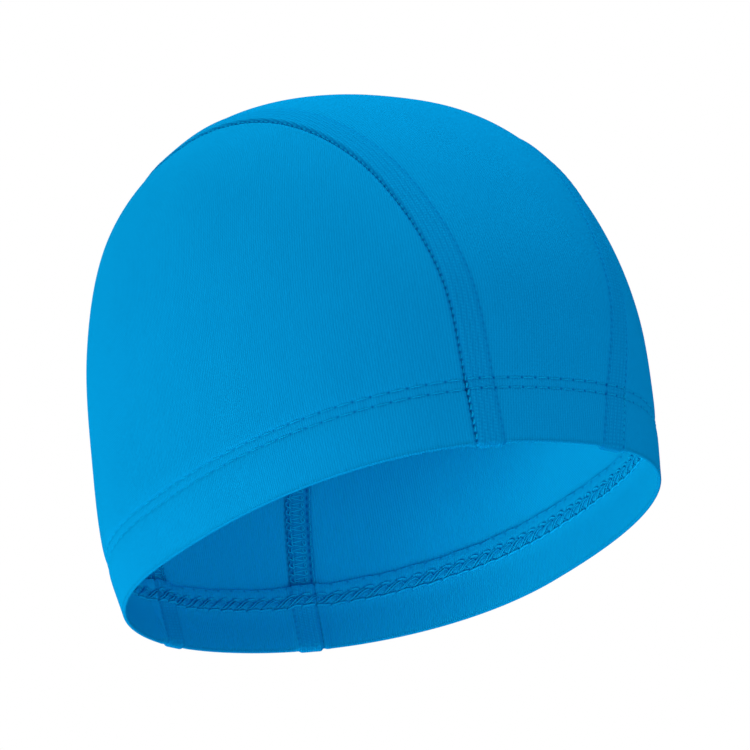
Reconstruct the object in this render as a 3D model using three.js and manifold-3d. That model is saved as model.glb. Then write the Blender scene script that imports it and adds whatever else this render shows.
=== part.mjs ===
import * as THREE from 'three'
import { mergeVertices } from 'three/addons/utils/BufferGeometryUtils.js'
import Module from 'manifold-3d'

// A textile swim cap of stretch knit, in the form it has on a head.
// Millimetres, +Z up to the crown. The wearer faces -Y and the wearer's right side is at -X.
// The origin is the centre of the head opening, in the plane of the rim.

// The head form, measured to the outside of the cloth.
const rimHalfWidth = 71.5
const browReach = 115
const napeReach = 80.5
const crownHeight = 146.5
const browRoundness = 2.35
const napeRoundness = 2.1

// The cloth and its hem, which is turned up on the inside.
const clothThickness = 1
const hemDepth = 24
const foldClearance = 0.4

// The crown panel and the seams on both sides of it.
const crownHalfWidth = 50
const seamClearance = 0.3
const allowanceWidth = 8
const allowanceThickness = 1.2
const allowanceClearance = 0.5
const allowanceRise = 2
const bumpRamp = 3

// Facets of the solids.
const columnCount = 60
const wallRowCount = 13
const hemRowCount = 3
const rowGrowth = 1.25
const seamTurnDegrees = 4
const foldSteps = 4

const knitColor = 0x0082c8
const allowanceColor = 0x0069a6

// Each row is a level of the cap at crownHeight * sin(lift): its half width as a share of rimHalfWidth,
// and its reach to brow and nape as shares of browReach and napeReach.
const levels = [
  { lift: 0, side: 1, brow: 1, nape: 1 },
  { lift: 8, side: 1.035, brow: 1.005, nape: 1.07 },
  { lift: 20, side: 1.03, brow: 1.015, nape: 1.085 },
  { lift: 35, side: 1.02, brow: 0.905, nape: 0.985 },
  { lift: 50, side: 0.935, brow: 0.735, nape: 0.775 },
  { lift: 65, side: 0.72, brow: 0.53, nape: 0.53 },
  { lift: 78, side: 0.47, brow: 0.285, nape: 0.29 },
  { lift: 90, side: 0, brow: 0, nape: 0 },
]

// Each row is a turn from the brow over the top to the nape: how far the two seams stand from the
// middle, as shares of crownHalfWidth. The cap sits a little askew, so the two sides differ.
const seamRows = [
  { turn: 0, right: 0.54, left: 0.44 },
  { turn: 20, right: 0.585, left: 0.65 },
  { turn: 45, right: 0.71, left: 0.81 },
  { turn: 75, right: 0.97, left: 0.96 },
  { turn: 105, right: 1.02, left: 1.01 },
  { turn: 135, right: 0.7, left: 0.72 },
  { turn: 160, right: 0.6, left: 0.64 },
  { turn: 180, right: 0.63, left: 0.57 },
]

const radians = THREE.MathUtils.degToRad
const nudge = 1e-3

// A smooth curve through the rows of a table, from the key column to the named columns.
function curveThrough(rows, key, columns) {
  const keys = rows.map((row) => row[key])
  const values = rows.flatMap((row) => columns.map((column) => row[column]))
  const curve = new THREE.CubicInterpolant(keys, values, columns.length)
  return (x) => Array.from(curve.evaluate(x))
}

const levelAt = curveThrough(levels, 'lift', ['side', 'brow', 'nape'])
const seamAt = curveThrough(seamRows, 'turn', ['right', 'left'])

function signedPower(value, power) {
  return Math.sign(value) * Math.abs(value) ** power
}

// The outside of the cloth, at an angle around the head and a lift from the rim to the crown.
function capPoint(around, lift) {
  const [side, brow, nape] = levelAt(THREE.MathUtils.radToDeg(lift))
  const across = Math.cos(around)
  const along = Math.sin(around)
  const facesBrow = along < 0
  const power = 2 / (facesBrow ? browRoundness : napeRoundness)
  const reach = facesBrow ? browReach * brow : napeReach * nape
  return new THREE.Vector3(
    rimHalfWidth * side * signedPower(across, power),
    reach * signedPower(along, power),
    crownHeight * Math.sin(lift),
  )
}

function capNormal(around, lift) {
  const low = Math.max(lift - nudge, 0)
  const up = capPoint(around, low + 2 * nudge).sub(capPoint(around, low))
  const round = capPoint(around + nudge, lift).sub(capPoint(around - nudge, lift))
  return round.cross(up).normalize()
}

// The point at a depth under the outside of the cloth.
function clothPoint(around, lift, depth) {
  return capPoint(around, lift).addScaledVector(capNormal(around, lift), -depth)
}

// The lift at a length up the cloth from the rim.
function liftAtLength(around, length) {
  const foot = capPoint(around, 0)
  let lift = length / crownHeight
  for (let pass = 0; pass < 6; pass += 1) {
    lift += (length - foot.distanceTo(capPoint(around, lift))) / crownHeight
  }
  return lift
}

// Below zero inside the cap's outer surface, above zero outside it.
function outsideness(point) {
  const rise = THREE.MathUtils.clamp(point.z / crownHeight, 0, 1)
  const [side, brow, nape] = levelAt(THREE.MathUtils.radToDeg(Math.asin(rise)))
  const facesBrow = point.y < 0
  const power = facesBrow ? browRoundness : napeRoundness
  const reach = facesBrow ? browReach * brow : napeReach * nape
  const sideShare = Math.abs(point.x) / Math.max(rimHalfWidth * side, nudge)
  const reachShare = Math.abs(point.y) / Math.max(reach, nudge)
  return sideShare ** power + reachShare ** power - 1
}

function outwardAt(point) {
  const slope = ['x', 'y', 'z'].map((axis) => {
    const ahead = point.clone()
    const behind = point.clone()
    ahead[axis] += nudge
    behind[axis] -= nudge
    return (outsideness(ahead) - outsideness(behind)) / (2 * nudge)
  })
  return new THREE.Vector3(...slope)
}

// Moves a point that is near the outer surface onto it.
function settle(point) {
  for (let pass = 0; pass < 4; pass += 1) {
    const slope = outwardAt(point)
    point.addScaledVector(slope, -outsideness(point) / slope.lengthSq())
  }
  return point
}

// How far the seam of one side stands from the middle at a turn.
function seamReach(side, turn) {
  const [right, left] = seamAt(THREE.MathUtils.clamp(turn, 0, 180))
  return crownHalfWidth * (side < 0 ? right : left)
}

// The seam line of one side on the outside of the cloth, at a turn from brow to nape in degrees.
function seamPoint(side, turn) {
  const x = side * seamReach(side, turn)
  const rise = Math.sin(radians(turn))
  const forward = -Math.cos(radians(turn))
  let inner = 0
  let outer = rise > nudge ? Math.min(crownHeight / rise, 2 * browReach) : 2 * browReach
  for (let pass = 0; pass < 40; pass += 1) {
    const middle = (inner + outer) / 2
    const isInside = outsideness(new THREE.Vector3(x, forward * middle, rise * middle)) < 0
    inner = isInside ? middle : inner
    outer = isInside ? outer : middle
  }
  return new THREE.Vector3(x, forward * inner, rise * inner)
}

// The turn at which a seam passes the top of the hem, at the brow or at the nape.
function hemTurn(atBrow) {
  const turn = THREE.MathUtils.radToDeg(Math.asin(hemDepth / (atBrow ? browReach : napeReach)))
  return atBrow ? turn : 180 - turn
}

// The four stretches of the hem that hold a seam allowance, by their distances from the middle.
const bulges = [-1, 1].flatMap((side) => [true, false].map((atBrow) => {
  const rimReach = seamReach(side, atBrow ? 0 : 180)
  const topReach = seamReach(side, hemTurn(atBrow))
  return {
    side,
    atBrow,
    inner: Math.min(rimReach, topReach) - allowanceWidth,
    outer: Math.max(rimReach, topReach),
  }
}))

// How far the hem bulges over a seam allowance at an angle around the head, from 0 to 1.
function hemBulge(around) {
  const { x, y } = capPoint(around, 0)
  const shares = bulges.filter(({ side, atBrow }) => side * x > 0 && atBrow === y < 0)
    .map(({ inner, outer }) => {
      const rise = THREE.MathUtils.smoothstep(Math.abs(x), inner - bumpRamp, inner)
      const fall = THREE.MathUtils.smoothstep(Math.abs(x), outer, outer + bumpRamp)
      return rise - fall
    })
  return Math.max(0, ...shares)
}

// The angle around the head at which the rim stands at a distance from the middle.
function aroundAtReach({ side, atBrow }, reach) {
  const share = Math.min(reach / rimHalfWidth, 1)
  const across = share ** ((atBrow ? browRoundness : napeRoundness) / 2)
  const along = Math.sqrt(1 - across ** 2)
  return Math.atan2(atBrow ? -along : along, side * across)
}

// Even columns around the cap, with closer ones where the hem rises over a seam allowance.
function columnAngles() {
  const full = 2 * Math.PI
  const even = Array.from({ length: columnCount }, (_, index) => (full * index) / columnCount)
  const close = bulges.flatMap((bulge) => {
    const { inner, outer } = bulge
    const reaches = [inner - bumpRamp, inner, outer, outer + bumpRamp]
    return reaches.map((reach) => (aroundAtReach(bulge, reach) + full) % full)
  })
  const leastStep = full / columnCount / 4
  const isClear = (angle) => close.every((other) => Math.abs(other - angle) > leastStep)
  return [...even.filter(isClear), ...close].sort((a, b) => a - b)
}

// One column of the cloth: the wall's outside from the crown down, the fold at the rim, the turned-up
// hem, and the wall's inside up to the crown again.
function clothColumn(around) {
  const fold = 2 * clothThickness + foldClearance
    + hemBulge(around) * (allowanceThickness + allowanceClearance)
  const radius = fold / 2
  const slack = radius - clothThickness
  const at = (length, depth) => clothPoint(around, liftAtLength(around, length), depth)
  const hemLift = liftAtLength(around, hemDepth)
  const wallLifts = Array.from(
    { length: wallRowCount },
    (_, row) => THREE.MathUtils.lerp(hemLift, Math.PI / 2, (row / wallRowCount) ** rowGrowth),
  )
  const hemLengths = Array.from(
    { length: hemRowCount },
    (_, row) => THREE.MathUtils.lerp(radius, hemDepth, row / hemRowCount),
  )
  const turns = Array.from({ length: foldSteps - 1 }, (_, step) => (Math.PI * (step + 1)) / foldSteps)
  return [
    ...wallLifts.toReversed().map((lift) => clothPoint(around, lift, 0)),
    ...hemLengths.toReversed().map((length) => at(length, 0)),
    ...turns.map((turn) => at(radius - radius * Math.sin(turn), radius - radius * Math.cos(turn))),
    ...hemLengths.map((length) => at(length, fold)),
    at(hemDepth, fold),
    at(hemDepth, fold - clothThickness),
    ...hemLengths.toReversed().map((length) => at(length, fold - clothThickness)),
    at(radius - slack, radius),
    ...hemLengths.map((length) => at(length, clothThickness)),
    ...wallLifts.map((lift) => clothPoint(around, lift, clothThickness)),
  ]
}

// A closed surface through rings of points, capped at both ends by one point or a fan.
function closedSurface(rings, firstCap, lastCap) {
  const count = rings[0].length
  const points = [firstCap, ...rings.flat(), lastCap]
  const last = points.length - 1
  const index = []
  for (let k = 0; k < count; k += 1) {
    const next = (k + 1) % count
    index.push(0, 1 + k, 1 + next)
    for (let ring = 1; ring < rings.length; ring += 1) {
      const above = 1 + (ring - 1) * count
      const below = 1 + ring * count
      index.push(above + k, below + k, below + next, above + k, below + next, above + next)
    }
    const end = 1 + (rings.length - 1) * count
    index.push(last, end + next, end + k)
  }
  const geometry = new THREE.BufferGeometry().setFromPoints(points)
  geometry.setIndex(index)
  return geometry
}

function clothShell() {
  const columns = columnAngles().map(clothColumn)
  const rings = columns[0].map((_, row) => columns.map((column) => column[row]))
  const crown = new THREE.Vector3(0, 0, crownHeight)
  const innerCrown = new THREE.Vector3(0, 0, crownHeight - clothThickness)
  return closedSurface(rings, crown, innerCrown)
}

function centreOf(ring) {
  return ring.reduce((sum, point) => sum.add(point), new THREE.Vector3()).divideScalar(ring.length)
}

// A fan around the X axis that reaches to both seams, with a margin past them.
function crownRegion(margin) {
  const innerRadius = rimHalfWidth / 4
  const outerRadius = 2 * browReach
  const overrun = 2 * seamTurnDegrees
  const rings = []
  for (let turn = -overrun; turn <= 180 + overrun; turn += seamTurnDegrees) {
    const rise = Math.sin(radians(turn))
    const forward = -Math.cos(radians(turn))
    const right = -seamReach(-1, turn) - margin
    const left = seamReach(1, turn) + margin
    const corner = (x, radius) => new THREE.Vector3(x, forward * radius, rise * radius)
    rings.push([
      corner(right, innerRadius),
      corner(left, innerRadius),
      corner(left, outerRadius),
      corner(right, outerRadius),
    ])
  }
  return closedSurface(rings, centreOf(rings[0]), centreOf(rings.at(-1)))
}

function sideRegion(side) {
  const size = 4 * browReach
  return new THREE.BoxGeometry(size, size, size).translate((side * size) / 2, 0, 0)
}

// The overlocked edges of two panels, folded towards the middle and lying on the crown panel's inside.
function seamAllowance(side) {
  const nearDepth = clothThickness + allowanceClearance
  const farDepth = nearDepth + allowanceThickness
  const foldHeight = farDepth + allowanceClearance
  const endTurn = (footTurn) => {
    const foot = seamPoint(side, footTurn)
    return THREE.MathUtils.radToDeg(Math.atan2(allowanceRise + foldHeight, Math.abs(foot.y)))
  }
  const browTurn = endTurn(0)
  const napeTurn = 180 - endTurn(180)
  const steps = Math.round((napeTurn - browTurn) / seamTurnDegrees)
  const rings = []
  for (let step = 0; step <= steps; step += 1) {
    const turn = THREE.MathUtils.lerp(browTurn, napeTurn, step / steps)
    const edge = seamPoint(side, turn)
    const ahead = seamPoint(side, turn + nudge).sub(seamPoint(side, turn - nudge))
    const inward = outwardAt(edge).cross(ahead).normalize()
    if (inward.x * side > 0) inward.negate()
    const across = [0, 0.5, 1].map((share) => {
      const distance = THREE.MathUtils.lerp(seamClearance, allowanceWidth, share)
      return settle(edge.clone().addScaledVector(inward, distance))
    })
    const layer = (depth) => across.map((point) => (
      point.clone().addScaledVector(outwardAt(point).normalize(), -depth)
    ))
    const ring = [...layer(nearDepth), ...layer(farDepth).toReversed()]
    rings.push(side < 0 ? ring.toReversed() : ring)
  }
  return closedSurface(rings, centreOf(rings[0]), centreOf(rings.at(-1)))
}

const wasm = await Module()
wasm.setup()

function solidOf(geometry) {
  const bare = geometry.clone()
  bare.deleteAttribute('normal')
  bare.deleteAttribute('uv')
  const merged = mergeVertices(bare)
  return new wasm.Manifold(new wasm.Mesh({
    numProp: 3,
    vertProperties: new Float32Array(merged.attributes.position.array),
    triVerts: new Uint32Array(merged.index.array),
  }))
}

function geometryOf(solid) {
  const { vertProperties, triVerts } = solid.getMesh()
  const geometry = new THREE.BufferGeometry()
  geometry.setAttribute('position', new THREE.BufferAttribute(vertProperties, 3))
  geometry.setIndex(new THREE.BufferAttribute(triVerts, 1))
  geometry.computeVertexNormals()
  return geometry
}

const knit = new THREE.MeshStandardMaterial({ color: knitColor, roughness: 0.75, metalness: 0 })
const overlock = new THREE.MeshStandardMaterial({ color: allowanceColor, roughness: 0.85, metalness: 0 })

function addPiece(group, name, geometry, material) {
  const mesh = new THREE.Mesh(geometry, material)
  mesh.name = name
  group.add(mesh)
}

const group = new THREE.Group()
const shell = solidOf(clothShell())
const crownPanel = shell.intersect(solidOf(crownRegion(0)))
const bothSides = shell.subtract(solidOf(crownRegion(seamClearance)))

addPiece(group, 'crown_panel', geometryOf(crownPanel), knit)
for (const [side, word] of [[-1, 'right'], [1, 'left']]) {
  const panel = bothSides.intersect(solidOf(sideRegion(side)))
  addPiece(group, `side_panel_${word}`, geometryOf(panel), knit)
  addPiece(group, `seam_allowance_${word}`, seamAllowance(side), overlock)
}

export default group
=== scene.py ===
import math

import bpy
import numpy as np
from mathutils import Matrix, Vector


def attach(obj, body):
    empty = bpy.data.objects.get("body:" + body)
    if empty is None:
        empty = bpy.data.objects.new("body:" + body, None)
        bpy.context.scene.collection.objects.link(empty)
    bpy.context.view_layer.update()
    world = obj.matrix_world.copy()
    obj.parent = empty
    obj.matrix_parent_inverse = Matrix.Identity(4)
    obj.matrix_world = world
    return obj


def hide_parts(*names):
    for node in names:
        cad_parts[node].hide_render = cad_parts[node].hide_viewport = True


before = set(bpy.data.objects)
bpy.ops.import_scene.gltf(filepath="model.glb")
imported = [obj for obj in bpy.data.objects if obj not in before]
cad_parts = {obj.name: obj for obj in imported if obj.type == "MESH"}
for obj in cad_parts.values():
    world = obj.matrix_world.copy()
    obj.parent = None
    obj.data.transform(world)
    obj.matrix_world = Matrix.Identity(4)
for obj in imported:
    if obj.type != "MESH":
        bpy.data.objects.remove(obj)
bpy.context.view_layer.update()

# A textile swim cap of blue stretch knit, in the form it has on a head, seen from below the brow.
# Metres, +Z up to the crown. The wearer faces -Y and the wearer's right side is at -X.
# The origin is the centre of the head opening, in the plane of the rim.

MM = 0.001

# Small numbers that keep divisions from zero, and how often the searches for the surface repeat.
TINY = 1e-6
SHORTEST = 1e-12
HALVINGS = 34
SETTLE_ROUNDS = 4

# The head form, measured to the outside of the cloth.
RIM_HALF_WIDTH = 71.5 * MM
BROW_REACH = 115 * MM
NAPE_REACH = 80.5 * MM
CROWN_HEIGHT = 146.5 * MM
BROW_ROUNDNESS = 2.35
NAPE_ROUNDNESS = 2.1
CROWN_HALF_WIDTH = 50 * MM

# How far below the rim the surface goes on, as a share of the height.
LOWEST_SHARE = -0.05

# The cloth and its hem, which is turned up on the inside.
CLOTH = 0.6 * MM
HEM_DEPTH = 24 * MM
FOLD_CLEARANCE = 0.1 * MM
PAD_HEIGHT = 22 * MM
PAD_WIDTH = 1.1 * MM
PAD_RISE = 0.35 * MM
NEEDLE_ROWS = (16.5 * MM, 19.5 * MM)
ROWS_MIDDLE = sum(NEEDLE_ROWS) / 2
ROW_GROOVE = 0.3 * MM
ROW_GROOVE_WIDTH = 0.55 * MM
HEM_PINCH = 0.35 * MM
HEM_PINCH_WIDTH = 3.2 * MM

# The waves of the hem's raw edge: radians for each stitch, and size.
EDGE_WAVES = ((1.9, 0.13 * MM), (4.3, 0.078 * MM))

# The seams and their allowances, which lie on the inside of the crown panel.
SEAM_GAP = 0.05 * MM
CREASE_DEPTH = 0.4 * MM
CREASE_WIDTH = 0.6 * MM
CREASE_SHARPNESS = 1.4
PUCKER = 0.12 * MM
PUCKER_REACH = 1.5 * MM
PUCKER_WIDTH = 0.8 * MM
ALLOWANCE_WIDTH = 8 * MM
ALLOWANCE_THICKNESS = 1.1 * MM
ALLOWANCE_CLEARANCE = 0.15 * MM
BAND_RAISE = 0.45 * MM
BAND_START = 0.2 * MM
BAND_RAMP = 0.9 * MM
BAND_DIP = 0.1 * MM
BAND_DIP_REACH = ALLOWANCE_WIDTH + 0.7 * MM
BAND_DIP_WIDTH = 0.5 * MM
BULGE_RAMP = 3 * MM
RIM_BUMP = 0.3 * MM
RIM_BUMP_HEIGHT = 5 * MM

# Stitch lengths, and where the first stitch of a seam starts.
SIDE_STITCH = 5.5 * MM
BROW_STITCH = 4.2 * MM
NAPE_STITCH = 4.9 * MM
SEAM_STITCH = 2.2 * MM
OVERLOCK_STITCH = 2.6 * MM
FIRST_SEAM_STITCH = 1.2 * MM

# Behind the ears the cloth is slack: the outside stitches sink into it, and the painted shade in their
# needle holes fades. Both changes are spread over stitches of a side panel's hem, counted from the brow.
SUNK_THREAD = 0.16 * MM
SINKING_STITCHES = (6, 20)
FADING_STITCHES = (5.0, 18.0)
HOLES_AT_BROW = 0.85
HOLES_AT_NAPE = 0.1

# The threads: their radius, the sides of their round form, and how thin their ends are.
THREAD_SIDES = 6
THREAD_END = 0.45
NEEDLE_THREAD = 0.17 * MM
LOOPER_THREAD = 0.29 * MM
SEAM_THREAD = 0.22 * MM
OVERLOCK_THREAD = 0.16 * MM

# Each row is a level of the cap: its lift in degrees, at CROWN_HEIGHT * sin(lift), its half width as a
# share of RIM_HALF_WIDTH, and its reach to brow and nape as shares of BROW_REACH and NAPE_REACH.
LEVELS = np.array([
    (0, 1, 1, 1),
    (8, 1.035, 1.005, 1.07),
    (20, 1.03, 1.015, 1.085),
    (35, 1.02, 0.905, 0.985),
    (50, 0.935, 0.735, 0.775),
    (65, 0.72, 0.53, 0.53),
    (78, 0.47, 0.285, 0.29),
    (90, 0, 0, 0),
])

# Each row is a turn in degrees from the brow over the top to the nape: how far the right and the left
# seam stand from the middle, as shares of CROWN_HALF_WIDTH.
SEAM_ROWS = np.array([
    (0, 0.54, 0.44),
    (20, 0.585, 0.65),
    (45, 0.71, 0.81),
    (75, 0.97, 0.96),
    (105, 1.02, 1.01),
    (135, 0.7, 0.72),
    (160, 0.6, 0.64),
    (180, 0.63, 0.57),
])

# The overlock's loops: the distances of its columns from the seam.
SEAM_CHAIN = 2.4 * MM
EDGE_CHAIN = 6.4 * MM
LOOPS_END = 7.8 * MM

# Each row is a column of painted shade in the overlock's gaps: its distance from the seam and its width
# in millimetres, and how dark it is.
GAP_SHADE_COLUMNS = (
    (0.85, 0.4, 1.0),
    (3.1, 0.25, 0.35),
    (5.75, 0.3, 0.75),
    (7.05, 0.36, 0.95),
)

# The strips of the seam allowances, from the crease inward, under the crown panel.
STRIP_START = -0.7 * MM
STRIP_CLEARANCE = 0.12 * MM
STRIP_THIN = 0.25 * MM
STRIP_RAMP = 1.5 * MM
STRIP_ROUNDING = 0.5 * MM
STRIP_WAIST = 0.1 * MM
STRIP_STEP = 0.6 * MM
STRIP_COLUMNS = 25
ALLOWANCE_RISE = 3.5 * MM
RIPPLE_START = ALLOWANCE_WIDTH - 3 * MM
RIPPLE_REACH = 0.15 * MM
RIPPLE_DEPTH = 0.12 * MM

# The knit, its painted shade and painted light, and the bump of each material.
RIB_PITCH = 0.8 * MM
COURSE_PITCH = 0.5 * MM
BAND_COLUMN = 1.6 * MM
KNIT_BUMP = 0.11 * MM
OVERLOCK_BUMP = 0.2 * MM
THREAD_BUMP = 0.05 * MM
HOLE_SHARPNESS = 24.0
HOLE_WIDTH = 0.4 * MM
PAD_GAP_ROWS = (NEEDLE_ROWS[1] + 0.9 * MM, HEM_DEPTH - 0.4 * MM)
PAD_GAP_WIDTH = 0.5 * MM
FOLD_SHADE = 0.5
FOLD_SHADE_WIDTH = 0.9 * MM
INNER_LIGHT_SHARE = 0.42

# Colours, in linear light.
KNIT_DARK = (0.0, 0.17, 0.46, 1)
KNIT_LIGHT = (0.001, 0.225, 0.56, 1)
# Painted shade in needle holes, seam dots, under the looper, between the pads and along the allowance's
# edge.
PAINTED_SHADE_COLOR = (0.0, 0.075, 0.3, 1)
# Painted shade in the overlock's gaps.
GAP_SHADE_COLOR = (0.0, 0.06, 0.27, 1)
# Painted shade at the rim's fold.
FOLD_SHADE_COLOR = (0.0, 0.095, 0.27, 1)
# Painted light on the inside of the cloth.
INNER_LIGHT_COLOR = (0.001, 0.35, 0.7, 1)
SHEEN_COLOR = (0.0, 0.45, 0.8, 1)
FLOOR_DARK = (0.86, 0.86, 0.86, 1)
FLOOR_LIGHT = (0.9, 0.9, 0.9, 1)
WHITE = (1, 1, 1, 1)
OVERLOCK_DARK = (0.0, 0.13, 0.38, 1)
OVERLOCK_LIGHT = (0.0, 0.26, 0.58, 1)
THREAD_DARK = (0.0, 0.17, 0.44, 1)
THREAD_LIGHT = (0.001, 0.29, 0.62, 1)
LOOP_DARK = (0.0, 0.23, 0.53, 1)
LOOP_LIGHT = (0.0, 0.39, 0.73, 1)

# The camera, at the photograph's angle: degrees and metres, and its focal length as a share of the
# image's width.
CAMERA_AZIMUTH = -33.53
CAMERA_ELEVATION = -19.63
CAMERA_ROLL = -8.89
CAMERA_DISTANCE = 1.25
CAMERA_SLIDE = 3.34 * MM
CAMERA_LIFT = 60.78 * MM
CAMERA_FOCUS = 4075 / 750
SENSOR = 36
NEAREST_VIEW = 0.05

# The floor and the lights around the cap.
FLOOR_LEVEL = -1.1
FLOOR_SIZE = 12
FLOOR_GLOW = 0.5
DOME_LIGHT = 0.2
LIGHT_DISTANCE = 1.1
LIGHT_SIZE = 0.8

# Each light: its name, the direction that it comes from, its strength and its colour.
LIGHTS = (
    ("top_light", (-0.3, 0.0, 0.95), 1.5, (1, 1, 0.79)),
    ("brow_light", (0.35, -0.5, 0.75), 0.48, (1, 1, 1)),
    ("side_light", (-0.78, 0.1, -0.62), 0.45, (1, 1, 0.9)),
    ("front_light", (-0.2, -0.8, -0.55), 0.4, (1, 1, 0.9)),
    ("low_light", (-0.5, 0.6, -0.6), 0.95, (1, 1, 0.75)),
    ("back_light", (0.7, 0.6, 0.25), 0.35, (1, 1, 0.9)),
)

# Steps of the meshes: degrees of turn, of which the hem takes up less than HEM_TURNS, and counts of rows
# and columns.
TURN_STEP = 0.3
HEM_TURNS = 40
MIDDLE_COLUMNS = 56
SIDE_COLUMNS = 130
CROWN_ROWS = 240
SIDE_ROWS = 135
SIDE_SAMPLES = 500
FOLD_STEPS = 8

# Edges that turn by more degrees than this look sharp.
SHARP_EDGE = 60

# Steps across a seam, which widen away from it, and how far they reach.
EDGE_FIRST_STEP = 0.14 * MM
EDGE_STEP_GROWTH = 0.045 * MM
EDGE_LAST_STEP = 0.6 * MM
CROWN_EDGE_REACH = 10 * MM
SIDE_EDGE_REACH = 3 * MM
SIDE_EDGE_SHARE = 0.3

# Steps up the hem, which are fine around the needle rows.
HEM_FIRST_HEIGHT = 1.8 * MM
HEM_LAST_STEP = 0.4 * MM
FINE_STEP = 0.34 * MM
COARSE_STEP = 0.9 * MM
FINE_START = NEEDLE_ROWS[0] - 2 * MM
FINE_END = NEEDLE_ROWS[1] + 1.6 * MM


def curve_through(table):
    """A smooth curve through the rows of a table, from its first column to the others."""
    keys, values = table[:, 0], table[:, 1:]
    last = len(keys) - 1

    def at(x):
        x = np.asarray(x, float)
        above = np.clip(np.searchsorted(keys, x, side="right"), 1, last)
        below = above - 1
        starts, ends = below == 0, above == last
        before = np.where(starts, above, below - 1)
        after = np.where(ends, below, np.minimum(above + 1, last))
        low, high = keys[below], keys[above]
        half = (high - low) / 2
        back = (half / (low - keys[before]))[..., None]
        ahead = (half / (keys[after] - high))[..., None]
        p = ((x - low) / (high - low))[..., None]
        p2, p3 = p * p, p * p * p
        return (
            (-back * p3 + 2 * back * p2 - back * p) * values[before]
            + ((1 + back) * p3 + (-1.5 - 2 * back) * p2 + (-0.5 + back) * p + 1) * values[below]
            + ((-1 - ahead) * p3 + (1.5 + ahead) * p2 + 0.5 * p) * values[above]
            + (ahead * p3 - ahead * p2) * values[after]
        )

    return at


shares_at = curve_through(LEVELS)
seams_at = curve_through(SEAM_ROWS)


def level_at(lift):
    """Half width, brow reach and nape reach of the level at a lift in degrees."""
    return np.moveaxis(shares_at(lift) * (RIM_HALF_WIDTH, BROW_REACH, NAPE_REACH), -1, 0)


def lift_of(height):
    """The lift in degrees of a level at a height, which may be a little below the rim."""
    return np.degrees(np.arcsin(np.clip(height / CROWN_HEIGHT, LOWEST_SHARE, 1)))


def outsideness(points):
    """Below zero inside the cap's outer surface, above zero outside it."""
    side, brow, nape = level_at(lift_of(points[..., 2]))
    at_brow = points[..., 1] < 0
    power = np.where(at_brow, BROW_ROUNDNESS, NAPE_ROUNDNESS)
    reach = np.maximum(np.where(at_brow, brow, nape), TINY)
    across = np.abs(points[..., 0]) / np.maximum(side, TINY)
    return across**power + (np.abs(points[..., 1]) / reach) ** power - 1


def unit(vectors):
    """The vectors at a length of one."""
    return vectors / np.maximum(np.linalg.norm(vectors, axis=-1, keepdims=True), SHORTEST)


def slope_at(points):
    """How fast the outsideness grows in each direction."""
    nudge = 0.01 * MM
    steps = np.eye(3) * nudge
    parts = [outsideness(points + step) - outsideness(points - step) for step in steps]
    return np.stack(parts, -1) / (2 * nudge)


def normals_at(points):
    """The directions out of the cloth at points of the outer surface."""
    return unit(slope_at(points))


def settle(points):
    """Moves points that are near the outer surface onto it."""
    for _ in range(SETTLE_ROUNDS):
        slope = slope_at(points)
        share = outsideness(points) / np.maximum((slope**2).sum(-1), TINY)
        points = points - slope * share[..., None]
    return points


def fan_points(x, turn):
    """Points of the outer surface at a distance from the middle and a turn from the brow."""
    rise, forward = np.sin(np.radians(turn)), -np.cos(np.radians(turn))
    inner = np.zeros_like(x)
    outer = np.minimum(CROWN_HEIGHT / np.maximum(rise, TINY), 2 * BROW_REACH)
    for _ in range(HALVINGS):
        middle = (inner + outer) / 2
        inside = outsideness(np.stack([x, forward * middle, rise * middle], -1)) < 0
        inner = np.where(inside, middle, inner)
        outer = np.where(inside, outer, middle)
    return np.stack([x, forward * inner, rise * inner], -1)


def summed(steps):
    """Running length at the ends of steps along the first axis."""
    lengths = np.linalg.norm(steps, axis=-1)
    return np.concatenate([np.zeros_like(lengths[:1]), np.cumsum(lengths, axis=0)])


def lengths_along(points):
    """Running length along the first axis of a grid of points."""
    return summed(np.diff(points, axis=0))


def climb_along(points):
    """Running length up the cloth along the first axis, without what leads around the head."""
    normals = normals_at((points[1:] + points[:-1]) / 2)
    level = unit(np.cross(normals, (0, 0, 1)))
    steps = np.diff(points, axis=0)
    return summed(steps - level * (steps * level).sum(-1, keepdims=True))


def points_at(wanted, running, line):
    """Points of a line at running lengths."""
    return np.stack([np.interp(wanted, running, line[:, axis]) for axis in range(3)], -1)


def rows_at(grid, places):
    """Rows of a grid at places, which count its rows with a fraction, one column of places each."""
    below = np.clip(places.astype(int), 0, len(grid) - 2)
    share = places - below
    columns = np.arange(grid.shape[1])[None]
    low, high = grid[below, columns], grid[below + 1, columns]
    share = share.reshape(share.shape + (1,) * (low.ndim - share.ndim))
    return low + (high - low) * share


def places_of(targets, running):
    """Where the running length of each column reaches the targets, for each row of targets."""
    targets = np.broadcast_to(targets, (len(targets), running.shape[1]))
    count = np.arange(len(running))
    columns = zip(targets.T, running.T)
    return np.stack([np.interp(wanted, column, count) for wanted, column in columns], -1)


def smooth(x, low, high):
    """Zero up to low, one from high on, and a soft step between them."""
    t = np.clip((x - low) / (high - low), 0, 1)
    return t * t * (3 - 2 * t)


def mound(x, centre, width):
    """One at the centre, falling to zero on both sides."""
    return np.exp(-(((x - centre) / width) ** 2))


def crease_at(distance):
    """How deep the cloth dips beside a seam."""
    return CREASE_DEPTH * np.exp(-((distance / CREASE_WIDTH) ** CREASE_SHARPNESS))


def band_rise(distance):
    """How far the allowance lifts the crown panel beside a seam."""
    return BAND_RAISE * smooth(distance, BAND_START, BAND_START + BAND_RAMP)


def edge_steps(reach):
    """Distances from a seam, close together in the crease and wider apart further off."""
    steps = [SEAM_GAP]
    step = EDGE_FIRST_STEP
    while steps[-1] < reach:
        steps.append(steps[-1] + step)
        step = min(step + EDGE_STEP_GROWTH, EDGE_LAST_STEP)
    return np.array(steps)


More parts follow.
